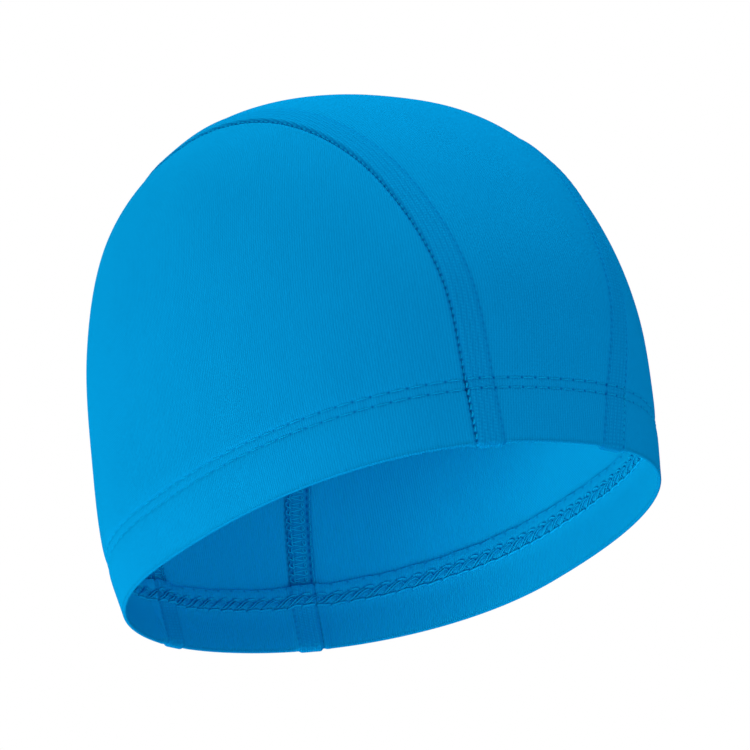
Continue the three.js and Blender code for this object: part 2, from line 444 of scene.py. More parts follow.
def hem_heights():
    """Heights up the cloth of the hem's rows, close together at the needle rows."""
    heights = []
    height = HEM_FIRST_HEIGHT
    while height < HEM_DEPTH - HEM_LAST_STEP:
        heights.append(height)
        height += FINE_STEP if FINE_START < height < FINE_END else COARSE_STEP
    return np.array(heights + [HEM_DEPTH])


# The seams.

SIDES = {"right": -1, "left": 1}
TURNS = np.arange(0, 180 + TURN_STEP / 2, TURN_STEP)


def seam_reach(word, turn):
    """How far a seam stands from the middle at a turn from the brow."""
    right, left = np.moveaxis(seams_at(turn), -1, 0)
    return CROWN_HALF_WIDTH * (right if word == "right" else left)


def seam_line(word):
    """The seam's points, its running length, and the directions along it and inward."""
    points = fan_points(SIDES[word] * seam_reach(word, TURNS), TURNS)
    running = lengths_along(points)
    along = unit(np.gradient(points, axis=0))
    inward = unit(np.cross(normals_at(points), along))
    inward *= -np.sign(inward[:, :1] * SIDES[word])
    return {"points": points, "running": running, "along": along, "inward": inward}


SEAMS = {word: seam_line(word) for word in SIDES}


def nearest_on_seam(word, points):
    """Distance of points from a seam, and the running length of the place that is nearest."""
    seam = SEAMS[word]
    flat = points.reshape(-1, 3)
    distance, running = np.empty(len(flat)), np.empty(len(flat))
    batch = 4000
    for start in range(0, len(flat), batch):
        part = slice(start, start + batch)
        gaps = ((flat[part, None] - seam["points"][None]) ** 2).sum(-1)
        nearest = gaps.argmin(1)
        offset = flat[part] - seam["points"][nearest]
        slide = (offset * seam["along"][nearest]).sum(-1)
        distance[part] = np.sqrt(np.maximum((offset**2).sum(-1) - slide**2, 0))
        running[part] = seam["running"][nearest] + slide
    return distance.reshape(points.shape[:-1]), running.reshape(points.shape[:-1])


def seam_places(points):
    """Distance from the nearer seam, and the running length there."""
    right, right_run = nearest_on_seam("right", points)
    left, left_run = nearest_on_seam("left", points)
    return np.minimum(right, left), np.where(right < left, right_run, left_run)


# The outer surface of each panel, as a grid of rows up the cloth and columns across it.

def crown_grid():
    """The crown panel: its rows run from the brow to the nape, its columns from seam to seam."""
    edge = edge_steps(CROWN_EDGE_REACH)
    right = -seam_reach("right", TURNS)
    left = seam_reach("left", TURNS)
    step = 0.5 * MM
    leans = []
    for start, way in ((right, 1), (left, -1)):
        travel = fan_points(start + way * step, TURNS) - fan_points(start, TURNS)
        leans.append(step / np.linalg.norm(travel, axis=-1))
    near = right[:, None] + leans[0][:, None] * edge
    far = left[:, None] - leans[1][:, None] * edge[::-1]
    shares = np.linspace(0, 1, MIDDLE_COLUMNS + 1)[1:-1]
    middle = near[:, -1:] + (far[:, :1] - near[:, -1:]) * shares
    x = np.concatenate([near, middle, far], 1)
    return fan_points(x, np.broadcast_to(TURNS[:, None], x.shape))


def side_grid(word):
    """A side panel: its rows run up from the rim to the seam's top, its columns from brow to nape."""
    side = SIDES[word]
    heights = SEAMS[word]["points"][:, 2]
    top = heights.argmax()
    turns = TURNS[:top]
    levels = heights[:top]
    nape_turns = np.interp(levels, heights[top:][::-1], TURNS[top:][::-1])
    half, brow, nape = (size[:, None] for size in level_at(lift_of(levels)))
    starts, ends = [], []
    for turn, power, reach, found in (
        (turns, BROW_ROUNDNESS, brow, starts),
        (nape_turns, NAPE_ROUNDNESS, nape, ends),
    ):
        x = np.minimum(seam_reach(word, turn)[:, None] / half, 1)
        along = np.sqrt(np.maximum(1 - x**power, 0))
        found.append(np.arctan2(x ** (power / 2), along))
    first, last = starts[0], math.pi - ends[0]
    samples = first + (last - first) * np.linspace(0, 1, SIDE_SAMPLES)
    across, ahead = np.sin(samples), -np.cos(samples)
    power = np.where(ahead < 0, 2 / BROW_ROUNDNESS, 2 / NAPE_ROUNDNESS)
    reach = np.where(ahead < 0, brow, nape)
    dense = np.stack([
        side * half * across**power,
        reach * np.sign(ahead) * np.abs(ahead) ** power,
        np.broadcast_to(levels[:, None], ahead.shape),
    ], -1)
    edge = edge_steps(SIDE_EDGE_REACH)
    shares = np.linspace(0, 1, SIDE_COLUMNS + 1)[1:-1]
    rows = []
    for line in dense:
        running = lengths_along(line)
        near = edge * min(1, SIDE_EDGE_SHARE * running[-1] / edge[-1])
        middle = near[-1] + (running[-1] - 2 * near[-1]) * shares
        wanted = np.concatenate([near, middle, running[-1] - near[::-1]])
        rows.append(points_at(wanted, running, line))
    return np.array(rows)


def hem_of(grid, stitch):
    """The hem of a grid that starts at the rim: its points at heights up the cloth, its stitches, and
    the place in the grid where it ends."""
    climb = climb_along(grid[: int(HEM_TURNS / TURN_STEP)])

    def at(heights):
        return rows_at(grid, places_of(heights, climb))

    running = lengths_along(at(np.array([[ROWS_MIDDLE]]))[0])
    stitches = round(running[-1] / stitch)
    top = places_of(np.array([[HEM_DEPTH]]), climb)[0]
    return {"at": at, "along": running / running[-1] * stitches, "top": top}


def hem_rows(hem, on_crown):
    """The rows of a hem from its raw edge down the inside, round the fold and up the outside.

    The blocks give heights of the front and the back, their depths under the surface, and the turn.
    """
    foot = hem["at"](np.zeros((1, 1)))[0]
    distance, _ = seam_places(foot)
    end = ALLOWANCE_WIDTH if on_crown else 0
    bulge = 1 - smooth(distance, end, end + BULGE_RAMP)
    fold = 2 * CLOTH + FOLD_CLEARANCE + bulge * (ALLOWANCE_THICKNESS + ALLOWANCE_CLEARANCE)
    radius, inner = fold / 2, fold / 2 - CLOTH
    heights = hem_heights()[:, None] * np.ones_like(fold)
    heights[-1] += sum(size * np.sin(pace * hem["along"]) for pace, size in EDGE_WAVES)
    arc = np.linspace(math.pi, 0, FOLD_STEPS + 1)[:, None]
    blocks = [
        (heights[::-1], heights[::-1], fold, fold - CLOTH, math.pi),
        (radius - radius * np.sin(arc), radius - inner * np.sin(arc),
         radius - radius * np.cos(arc), radius - inner * np.cos(arc), arc),
        (heights, heights, 0, CLOTH, 0),
    ]
    full = [[np.broadcast_to(part, block[0].shape) for part in block] for block in blocks]
    height, back_height, depth, back_depth, turn = (np.concatenate(parts) for parts in zip(*full))
    low_down = 1 - smooth(height, 0, RIM_BUMP_HEIGHT)
    return {
        "front": hem["at"](height),
        "back": hem["at"](back_height),
        "height": height,
        "depth": depth,
        "back_depth": back_depth,
        "turn": turn,
        "along": np.broadcast_to(hem["along"], height.shape),
        "drop": np.broadcast_to(bulge * RIM_BUMP, height.shape) * low_down,
    }


def wall_rows(grid, start, end, count, ends_at_rim):
    """The rows of a panel between its hems, at places in its grid."""
    shares = np.linspace(0, 1, count + 2)[1:-1, None]
    front = rows_at(grid, start + (end - start) * shares)
    above = lengths_along(front)
    if ends_at_rim:
        above = np.minimum(above, above[-1] - above)
    zeros = np.zeros(front.shape[:2])
    return {
        "front": front,
        "back": front,
        "height": HEM_DEPTH + MM + above,
        "depth": zeros,
        "back_depth": zeros + CLOTH,
        "turn": zeros,
        "along": zeros,
        "drop": zeros,
    }


def joined(*blocks):
    """Blocks of rows, one after the other."""
    return {key: np.concatenate([block[key] for block in blocks]) for key in blocks[0]}


def upward_at(normals):
    """The direction up the cloth, where the cloth faces along the normals."""
    level = unit(np.cross(normals, (0, 0, 1)))
    return unit(np.cross(level, normals))


def straight_grain(points):
    """Distances across a panel, carried up the cloth at right angles to its rows."""
    found = [lengths_along(points[0])]
    for lower, upper in zip(points[:-1], points[1:]):
        running = lengths_along(lower)
        along = unit(np.gradient(lower, axis=0))
        slide = ((upper - lower) * along).sum(-1)
        found.append(np.interp(running + slide, running, found[-1]))
    return np.stack(found)


def wales_of(rows, on_crown):
    """How far each point is across the ribs: from the middle of the crown, or from the brow on a side."""
    front = rows["front"]
    if on_crown:
        across = np.stack([lengths_along(row) for row in front])
        middle = across.shape[1] // 2
        return across - across[:, middle : middle + 1]
    count = len(hem_heights())
    outer = straight_grain(front[count + FOLD_STEPS + 1 :])
    fold = np.repeat(outer[:1], FOLD_STEPS + 1, axis=0)
    return np.concatenate([outer[:count][::-1], fold, outer])


def dress(rows, on_crown):
    """Gives the rows of a panel their relief and thickness, and the values that its material reads."""
    distance, running = seam_places(rows["front"])
    normals, back_normals = normals_at(rows["front"]), normals_at(rows["back"])
    upward = upward_at(normals)
    turn = rows["turn"][..., None]
    facing = normals * np.cos(turn) - upward * np.sin(turn)

    crease = -crease_at(distance) * (1 - 0.6 * rows["turn"] / math.pi)
    pucker = PUCKER * mound(distance, PUCKER_REACH, PUCKER_WIDTH)
    shift = crease + pucker * (0.7 + 0.3 * np.cos(2 * math.pi * running / SEAM_STITCH))
    if on_crown:
        fall = smooth(distance, ALLOWANCE_WIDTH - BAND_RAMP / 2, ALLOWANCE_WIDTH + BAND_RAMP / 2)
        shift = shift + band_rise(distance) * (1 - fall)
        shift = shift - BAND_DIP * mound(distance, BAND_DIP_REACH, BAND_DIP_WIDTH)
    grooves = sum(mound(rows["height"], row, ROW_GROOVE_WIDTH) for row in NEEDLE_ROWS)
    pull = 0.72 + 0.28 * np.cos(2 * math.pi * rows["along"])
    pinch = HEM_PINCH * mound(rows["height"], ROWS_MIDDLE, HEM_PINCH_WIDTH)

    pads = mound(rows["height"], PAD_HEIGHT, PAD_WIDTH)
    pads = pads * (0.5 - 0.5 * np.cos(2 * math.pi * rows["along"]))
    shift = shift + PAD_RISE * pads * np.isclose(rows["turn"], math.pi)

    common = facing * shift[..., None] - normals * pinch[..., None] - upward * rows["drop"][..., None]
    groove = facing * (ROW_GROOVE * grooves * pull)[..., None]
    front = rows["front"] - normals * rows["depth"][..., None] + common - groove
    back = rows["back"] - back_normals * rows["back_depth"][..., None] + common

    wale = wales_of(rows, on_crown)
    middle = wale.shape[1] // 2
    course = lengths_along(front)[:, middle : middle + 1]
    values = {
        "wale": wale,
        "course": np.broadcast_to(course, wale.shape),
        "turned_in": rows["turn"] / math.pi,
        "seam_distance": distance,
        "seam_run": running,
        "hem_height": rows["height"],
        "hem_along": rows["along"],
    }
    return {"front": front, "back": back, "facing": facing, "values": values}


# Meshes from arrays.

def add_object(name, data):
    """A new object in the scene."""
    found = bpy.data.objects.new(name, data)
    bpy.context.scene.collection.objects.link(found)
    return found


def on_cap(piece):
    """Gives a piece the cap's body."""
    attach(piece, "root")
    return piece


def quads_of(*corners):
    """Faces with four corners, from four arrays of corners."""
    return np.stack([corner.ravel() for corner in corners], -1)


def mesh_piece(name, points, faces, material, values=None):
    """A smooth mesh object from points and faces, with a value per point for its material."""
    mesh = bpy.data.meshes.new(name)
    mesh.from_pydata(points.tolist(), [], faces)
    for key, numbers in (values or {}).items():
        layer = mesh.attributes.new(key, "FLOAT", "POINT")
        layer.data.foreach_set("value", np.ascontiguousarray(numbers, np.float32).ravel())
    mesh.polygons.foreach_set("use_smooth", np.ones(len(mesh.polygons), bool))
    mesh.materials.append(material)
    return add_object(name, mesh)


def thick_sheet(name, front, back, material, values):
    """A closed sheet between two grids of points, which have the same rows and columns."""
    rows, columns = front.shape[:2]
    count = rows * columns
    index = np.arange(count).reshape(rows, columns)
    corners = index[:-1, :-1], index[:-1, 1:], index[1:, 1:], index[1:, :-1]
    border = np.concatenate([index[0], index[1:, -1], index[-1, -2::-1], index[-2:0:-1, 0]])
    after = np.roll(border, -1)
    faces = np.concatenate([
        quads_of(*corners),
        quads_of(*(corner + count for corner in corners[::-1])),
        quads_of(after, border, border + count, after + count),
    ])
    points = np.concatenate([front.reshape(-1, 3), back.reshape(-1, 3)])
    a, b, c, d = (points[faces[:, k]] for k in range(4))
    volume = (a * np.cross(b, c)).sum() + (a * np.cross(c, d)).sum()
    if volume < 0:
        faces = faces[:, ::-1]
    doubled = {key: np.concatenate([numbers, numbers]) for key, numbers in values.items()}
    doubled["inner"] = np.repeat([0.0, 1.0], count)
    piece = mesh_piece(name, points, faces.tolist(), material, doubled)
    piece.data.set_sharp_from_angle(angle=math.radians(SHARP_EDGE))
    return piece


def thread_piece(name, paths, normals, radius, material):
    """Thin threads as one piece, one along each path of points, with closed tapered ends."""
    paths, normals = np.concatenate(paths), np.concatenate(normals)
    count, length = paths.shape[:2]
    tangent = unit(np.gradient(paths, axis=1))
    across = unit(np.cross(tangent, normals))
    upward = np.cross(across, tangent)
    angle = 2 * math.pi * np.arange(THREAD_SIDES) / THREAD_SIDES
    ring = across[:, :, None] * np.cos(angle)[:, None]
    ring = ring + upward[:, :, None] * np.sin(angle)[:, None]
    taper = np.ones(length)
    taper[[0, -1]] = THREAD_END
    size = np.broadcast_to(radius, (count, 1)) * taper
    points = paths[:, :, None] + ring * size[:, :, None, None]
    index = np.arange(count * length * THREAD_SIDES).reshape(count, length, THREAD_SIDES)
    turned = np.roll(index, -1, axis=2)
    faces = quads_of(index[:, :-1], index[:, 1:], turned[:, 1:], turned[:, :-1]).tolist()
    faces += index[:, 0].tolist() + index[:, -1, ::-1].tolist()
    return on_cap(mesh_piece(name, points.reshape(-1, 3), faces, material))


# The panels.

def hem_faces(dressed, rows, backward=False, slack=False, at_end=False):
    """The outside and the inside of a dressed panel's hem, for what is sewn on it.

    A hem is backward if its columns run anticlockwise, seen from above, slack if its cloth is slack
    behind the ear, and at the end if it takes up the panel's last rows.
    """
    heights = hem_heights()
    count = len(heights)
    outer = count + FOLD_STEPS + 1
    order = slice(None, None, -1) if at_end else slice(None)
    part = {key: dressed[key][order][: outer + count] for key in ("front", "facing")}
    return {
        "along": rows["along"][order][0],
        "backward": backward,
        "slack": slack,
        "heights": heights,
        "outside": {key: grid[outer:] for key, grid in part.items()},
        "inside": {key: grid[:count][::-1] for key, grid in part.items()},
    }


def on_hem(hem, face, along, height, lift):
    """Points on a hem, at stitches along it and heights up it, lifted off it, and where they face."""
    k = np.interp(height, hem["heights"], np.arange(len(hem["heights"])))
    j = np.interp(along, hem["along"], np.arange(len(hem["along"])))
    k0 = np.minimum(k.astype(int), len(hem["heights"]) - 2)
    j0 = np.minimum(j.astype(int), len(hem["along"]) - 2)
    sk, sj = (k - k0)[..., None], (j - j0)[..., None]

    def between(grid):
        low = grid[k0, j0] * (1 - sj) + grid[k0, j0 + 1] * sj
        high = grid[k0 + 1, j0] * (1 - sj) + grid[k0 + 1, j0 + 1] * sj
        return low * (1 - sk) + high * sk

    facing = unit(between(hem[face]["facing"]))
    return between(hem[face]["front"]) + facing * lift[..., None], facing


def panel_piece(name, dressed, material):
    """The closed sheet of a dressed panel."""
    piece = thick_sheet(name, dressed["front"], dressed["back"], material, dressed["values"])
    return on_cap(piece)


def crown_panel(material):
    """The crown panel's piece, and its hems at brow and nape."""
    grid = crown_grid()
    brow, nape = hem_of(grid, BROW_STITCH), hem_of(grid[::-1], NAPE_STITCH)
    last = len(grid) - 1
    wall = wall_rows(grid, brow["top"], last - nape["top"], CROWN_ROWS, True)
    nape_rows = {key: part[::-1] for key, part in hem_rows(nape, True).items()}
    rows = joined(hem_rows(brow, True), wall, nape_rows)
    dressed = dress(rows, True)
    piece = panel_piece("crown_panel_knit", dressed, material)
    return piece, [hem_faces(dressed, rows, backward=True), hem_faces(dressed, rows, at_end=True)]


def side_panel(word, material):
    """A side panel's piece, and its hem."""
    grid = side_grid(word)
    hem = hem_of(grid, SIDE_STITCH)
    wall = wall_rows(grid, hem["top"], len(grid) - 1.0, SIDE_ROWS, False)
    rows = joined(hem_rows(hem, False), wall)
    dressed = dress(rows, False)
    piece = panel_piece(f"side_panel_{word}_knit", dressed, material)
    return piece, hem_faces(dressed, rows, backward=word == "left", slack=True)


# The overlocked seam allowances, under the edges of the crown panel.

def strip_surface(word, running, reach):
    """Points of the outer surface beside a seam, a reach inward of it, and their normals."""
    seam = SEAMS[word]
    starts, inward = (points_at(running, seam["running"], seam[key]) for key in ("points", "inward"))
    points = settle(starts + inward * reach[..., None])
    return points, normals_at(points)


def strip_section(reach):
    """Depth of a strip's upper face under the outer surface, and its thickness there."""
    top = CLOTH + STRIP_CLEARANCE + crease_at(np.abs(reach)) - band_rise(reach)
    full = smooth(reach, 0, STRIP_RAMP)
    edge = np.clip((ALLOWANCE_WIDTH - reach) / STRIP_ROUNDING, 0, 1)
    round_off = np.sqrt(1 - 0.97 * (1 - edge) ** 2)
    thickness = STRIP_THIN + (ALLOWANCE_THICKNESS - STRIP_THIN) * full
    return top, thickness * round_off


def allowance_strip(word, material):
    """The two cut edges of a seam as one strip, with a ripple along its edge from the overlock."""
    total = SEAMS[word]["running"][-1]
    running = np.arange(ALLOWANCE_RISE, total - ALLOWANCE_RISE, STRIP_STEP)[:, None]
    reach = np.linspace(STRIP_START, ALLOWANCE_WIDTH, STRIP_COLUMNS) + 0 * running
    running = running + 0 * reach
    outer = smooth(reach, RIPPLE_START, ALLOWANCE_WIDTH)
    ripple = np.cos(2 * math.pi * running / OVERLOCK_STITCH)
    points, normals = strip_surface(word, running, reach + RIPPLE_REACH * ripple * outer)
    top, thickness = strip_section(reach)
    waist = STRIP_WAIST * np.sin(math.pi * reach / ALLOWANCE_WIDTH)
    waist = waist + RIPPLE_DEPTH * outer * (0.5 - 0.5 * ripple)
    bottom = top + thickness - np.where(reach > STRIP_RAMP, waist, 0)
    values = {"seam_run": running, "seam_distance": reach}
    name = f"seam_allowance_{word}_overlock"
    front, back = (points - normals * depth[..., None] for depth in (top, bottom))
    return on_cap(thick_sheet(name, front, back, material, values))


# The threads.

def uneven(starts, spread, seed):
    """Small differences from stitch to stitch, the same each time."""
    return np.random.default_rng(seed).uniform(-spread, spread, starts.shape)


def overlock_loops(word, material):
    """The overlock's threads on an allowance: arcs at both borders, and strands across.

    Each run is its way forward in stitches, its distance from the seam, and its lift in millimetres.
    """
    total = SEAMS[word]["running"][-1]
    starts = np.arange(HEM_DEPTH + MM, total - HEM_DEPTH - MM, OVERLOCK_STITCH)[:, None]
    t = np.linspace(0, 1, 9)
    bow = np.sin(math.pi * t)
    between = EDGE_CHAIN - SEAM_CHAIN
    runs = [
        (0.1 + 0.75 * t, SEAM_CHAIN - 0.3 * MM + 0.75 * MM * bow, 0.05 + 0.25 * bow),
        (0.15 + 0.7 * t, SEAM_CHAIN + 0.1 * MM - 0.55 * MM * bow, 0.2 * bow),
        (0.1 + 0.8 * t, EDGE_CHAIN - 0.1 * MM + 0.4 * MM * bow, 0.05 + 0.25 * bow),
        (0.15 + 0.6 * t, LOOPS_END + 0.2 * MM * bow, 0.3 * bow),
        (0.1 + 0.35 * t, SEAM_CHAIN + between * t, 0.12 * bow - 0.12),
        (0.6 + 0.3 * t, EDGE_CHAIN - between * t, 0.12 * bow - 0.14),
        (0.9 - 0.3 * t, EDGE_CHAIN + (LOOPS_END - EDGE_CHAIN) * t, 0.1 * bow),
        (0.05 + 0.9 * t, 0.15 * MM - 0.2 * MM * bow, 0.1 + 0.2 * bow),
    ]
    paths, facings = [], []
    for seed, (forward, reach, lift) in enumerate(runs):
        running = starts + (forward + uneven(starts, 0.08, seed)) * OVERLOCK_STITCH
        reach = reach + uneven(starts, 0.2 * MM, 10 + seed)
        points, normals = strip_surface(word, running, reach)
        top, thickness = strip_section(reach)
        paths.append(points - normals * (top + thickness + lift * MM)[..., None])
        facings.append(-normals)
    return thread_piece(f"overlock_loops_{word}", paths, facings, OVERLOCK_THREAD, material)


def crease_stitches(word, material):
    """The seam's ladder of stitches: short threads from the crease onto the crown panel, which are
    longer and thicker below the hem's needle rows."""
    total = SEAMS[word]["running"][-1]
    starts = np.arange(FIRST_SEAM_STITCH, total - FIRST_SEAM_STITCH, SEAM_STITCH)[:, None]
    t = np.linspace(0, 1, 7)
    below = 1 - smooth(np.minimum(starts, total - starts), NEEDLE_ROWS[0] - MM, NEEDLE_ROWS[1])
    reach = (0.12 + (0.22 + 0.32 * below + uneven(starts, 0.12, 3)) * t) * MM
    running = starts + (0.2 + 0.66 * t) * SEAM_STITCH
    points, normals = strip_surface(word, running, reach)
    surface = band_rise(reach) - crease_at(np.abs(reach))
    lift = (-0.14 + 0.04 * below + (0.18 + 0.16 * below) * np.sin(math.pi * t)) * MM
    paths = points + normals * (surface + lift)[..., None]
    size = SEAM_THREAD * (0.8 + 0.7 * below)
    return thread_piece(f"seam_stitches_{word}", [paths], [normals], size, material)


def stitch_starts(hem):
    """The count of each stitch along a hem, from zero."""
    return np.arange(round(hem["along"][-1]))[:, None]


def needle_threads(hems, material):
    """Two rows of needle thread outside the hem: each stitch dips into a needle hole at both ends."""
    t = np.linspace(0, 1, 9)
    paths, facings = [], []
    for hem in hems:
        starts = stitch_starts(hem)
        along = starts + 0.05 + 0.9 * t
        sunk = smooth(along, *SINKING_STITCHES) * SUNK_THREAD * hem["slack"]
        for row in NEEDLE_ROWS:
            lift = (-0.3 + 0.42 * np.sin(math.pi * t) ** 0.5) * MM - sunk
            height = row + uneven(starts, 0.1 * MM, 5) * np.sin(math.pi * t)
            points, facing = on_hem(hem, "outside", along, height, lift)
            paths.append(points)
            facings.append(facing)
    return thread_piece("hem_needle_threads", paths, facings, NEEDLE_THREAD, material)


def looper_threads(hems, material):
    """The looper thread inside the hem: slanted strands between the needle rows, and a chain on each.

    Each run is its way forward in stitches, its height up the hem, its lift in millimetres, and its
    thickness as a share of LOOPER_THREAD. The runs lean the same way all round the hem.
    """
    t = np.linspace(0, 1, 13)
    step = smooth(t, 0, 1)
    bow = np.sin(math.pi * t)
    low, high = NEEDLE_ROWS[0] - 0.1 * MM, NEEDLE_ROWS[1] + 0.5 * MM
    span = high - low
    runs = [
        (1.1 * t, low + 0.2 * MM + (span - 0.3 * MM) * step, 0.12 + 0.2 * bow, 1.05),
        (0.2 + 1.1 * t, low + (span - 0.5 * MM) * step, 0.1 + 0.18 * bow, 1.0),
        (0.15 + 0.7 * t, high - 0.1 * MM - (span - 0.4 * MM) * step, 0.02 + 0.05 * bow, 0.75),
        (-0.08 + t, low - 0.6 * MM + 0.4 * MM * t, 0.02 + 0.25 * bow, 1.3),
        (0.05 + 0.6 * t, high + 0.1 * MM + 0.3 * MM * bow, 0.05 + 0.3 * bow, 0.9),
    ]
    paths, facings, sizes = [], [], []
    for hem in hems:
        starts = stitch_starts(hem)
        end = hem["along"][-1]
        for seed, (forward, height, lift, size) in enumerate(runs):
            along = np.clip(starts + forward + uneven(starts, 0.06, seed), 0, end)
            if hem["backward"]:
                along = end - along
            height = height + uneven(starts, 0.18 * MM, 10 + seed) * bow
            points, facing = on_hem(hem, "inside", along, height, lift * MM)
            paths.append(points)
            facings.append(facing)
            sizes.append(size * LOOPER_THREAD * np.ones((len(starts), 1)))
    return thread_piece("hem_looper_threads", paths, facings, np.concatenate(sizes), material)


# Materials.

class Nodes:
    """A short way to write the nodes of one material."""

    def __init__(self, name):
        self.material = bpy.data.materials.new(name)
        self.material.use_nodes = True
        self.tree = self.material.node_tree
        self.shader = self.tree.nodes["Principled BSDF"]

    def add(self, kind, settings=None, **inputs):
        """A node with its settings and inputs; an input is named, or numbered as i0, i1 and so on."""
        node = self.tree.nodes.new(kind)
        for key, value in (settings or {}).items():
            setattr(node, key, value)
        for key, value in inputs.items():
            place = int(key[1:]) if key[1:].isdigit() else key
            self.put(node.inputs[place], value)
        return node

    def put(self, socket, value):
        """Sets an input to a value, or joins it to another node's output."""
        if hasattr(value, "is_output"):
            self.tree.links.new(value, socket)
        else:
            socket.default_value = value

    def math(self, operation, *values):
        settings = {"operation": operation}
        inputs = {f"i{place}": value for place, value in enumerate(values)}
        return self.add("ShaderNodeMath", settings, **inputs).outputs[0]

    def times(self, first, second):
        return self.math("MULTIPLY", first, second)

    def scaled(self, length, factor, offset):
        """A length times a factor, plus an offset."""
        return self.math("MULTIPLY_ADD", length, factor, offset)

    def value(self, name):
        """A value that the mesh holds for each point."""
        return self.add("ShaderNodeAttribute", {"attribute_name": name}).outputs["Fac"]

    def wave(self, length, pitch, shift=0.0):
        """A sine of a length, from 0 to 1, with its peaks a pitch apart."""
        turns = self.scaled(length, 2 * math.pi / pitch, shift)
        return self.scaled(self.math("COSINE", turns), 0.5, 0.5)

    def mound(self, length, centre, width):
        """One at the centre, falling to zero on both sides."""
        away = self.math("DIVIDE", self.math("SUBTRACT", length, centre), width)
        return self.math("EXPONENT", self.times(self.times(away, away), -1.0))

    def noise(self, scale, detail):
        """Random blotches, finer at a larger scale."""
        place = self.add("ShaderNodeTexCoord").outputs["Object"]
        return self.add("ShaderNodeTexNoise", Vector=place, Scale=scale, Detail=detail).outputs[0]

    def mix(self, share, low, high):
        """A colour between two colours."""
        node = self.add("ShaderNodeMix", {"data_type": "RGBA"})
        self.put(node.inputs[0], share)
        self.put(node.inputs[6], low)
        self.put(node.inputs[7], high)
        return node.outputs[2]

    def finished(self, inputs):
        """The material, with these inputs of its shader."""
        for name, value in inputs.items():
            self.put(self.shader.inputs[name], value)
        return self.material


def finish_cloth(nodes, color, height, depth, roughness, sheen):
    """The shader of all the cap's cloth and thread, with a bump from the height."""
    bump = nodes.add("ShaderNodeBump", Strength=1.0, Distance=depth, Height=height)
    return nodes.finished({
        "Base Color": color,
        "Normal": bump.outputs[0],
        "Roughness": roughness,
        "Sheen Weight": sheen,
        "Sheen Roughness": 0.4,
        "Sheen Tint": SHEEN_COLOR,
        "Specular IOR Level": 0.0,
        "Specular Tint": SHEEN_COLOR,
    })


def hem_shade(nodes, fading):
    """Painted shade in the needle holes and in a faint line along each row, fading towards the nape on a
    side panel.
    """
    height, along = nodes.value("hem_height"), nodes.value("hem_along")
    rows = [nodes.mound(height, row, HOLE_WIDTH) for row in NEEDLE_ROWS]
    holes = nodes.math("POWER", nodes.wave(along, 1.0), HOLE_SHARPNESS)
    if fading:
        soft = {"interpolation_type": "SMOOTHSTEP"}
        fade = nodes.add("ShaderNodeMapRange", soft, Value=along)
        for place, number in enumerate((*FADING_STITCHES, HOLES_AT_BROW, HOLES_AT_NAPE), 1):
            nodes.put(fade.inputs[place], number)
        holes = nodes.times(holes, fade.outputs[0])
    line = nodes.scaled(holes, 0.9, 0.13)
    outside = nodes.math("SUBTRACT", 1.0, nodes.value("turned_in"))
    return nodes.times(nodes.times(nodes.math("ADD", *rows), line), outside)


def crease_shade(nodes):
    """Painted shade in dots along the seam, between its stitches."""
    near = nodes.mound(nodes.value("seam_distance"), 0.1 * MM, 0.42 * MM)
    shift = -2 * math.pi * FIRST_SEAM_STITCH / SEAM_STITCH
    turns = nodes.wave(nodes.value("seam_run"), SEAM_STITCH, shift)
    dots = nodes.scaled(nodes.math("POWER", turns, 2.0), 0.7, 0.1)
    quiet = nodes.scaled(nodes.value("turned_in"), -0.75, 1.0)
    return nodes.times(nodes.times(near, dots), quiet)


def seam_band(nodes):
    """The allowance that shows through the crown panel: its relief, and painted shade over it with a
    dotted dark edge.
    """
    distance, running = nodes.value("seam_distance"), nodes.value("seam_run")
    inside = nodes.math("LESS_THAN", distance, ALLOWANCE_WIDTH)
    zigzag = nodes.scaled(distance, 0.35, running)
    columns = nodes.wave(distance, BAND_COLUMN)
    dashes = nodes.times(columns, nodes.wave(zigzag, SEAM_STITCH / 2))
    texture = nodes.times(dashes, inside)
    edge = nodes.mound(distance, ALLOWANCE_WIDTH + 0.3 * MM, 0.45 * MM)
    dots = nodes.scaled(nodes.wave(running, SEAM_STITCH), 0.5, 0.3)
    plain = nodes.times(nodes.math("SUBTRACT", inside, texture), 0.2)
    return texture, nodes.scaled(nodes.times(edge, dots), 0.6, plain)


def looper_shade(nodes):
    """Painted shadow under the looper's strands, and painted shade between the hem's raised pads."""
    height = nodes.value("hem_height")
    ground = nodes.times(nodes.mound(height, ROWS_MIDDLE, 1.5 * MM), 0.2)
    gaps = nodes.math("POWER", nodes.wave(nodes.value("hem_along"), 1.0), 8.0)
    rows = [nodes.mound(height, row, PAD_GAP_WIDTH) for row in PAD_GAP_ROWS]
    spots = nodes.times(nodes.math("ADD", *rows), gaps)
    both = nodes.scaled(spots, 0.5, ground)
    return nodes.times(both, nodes.value("turned_in"))


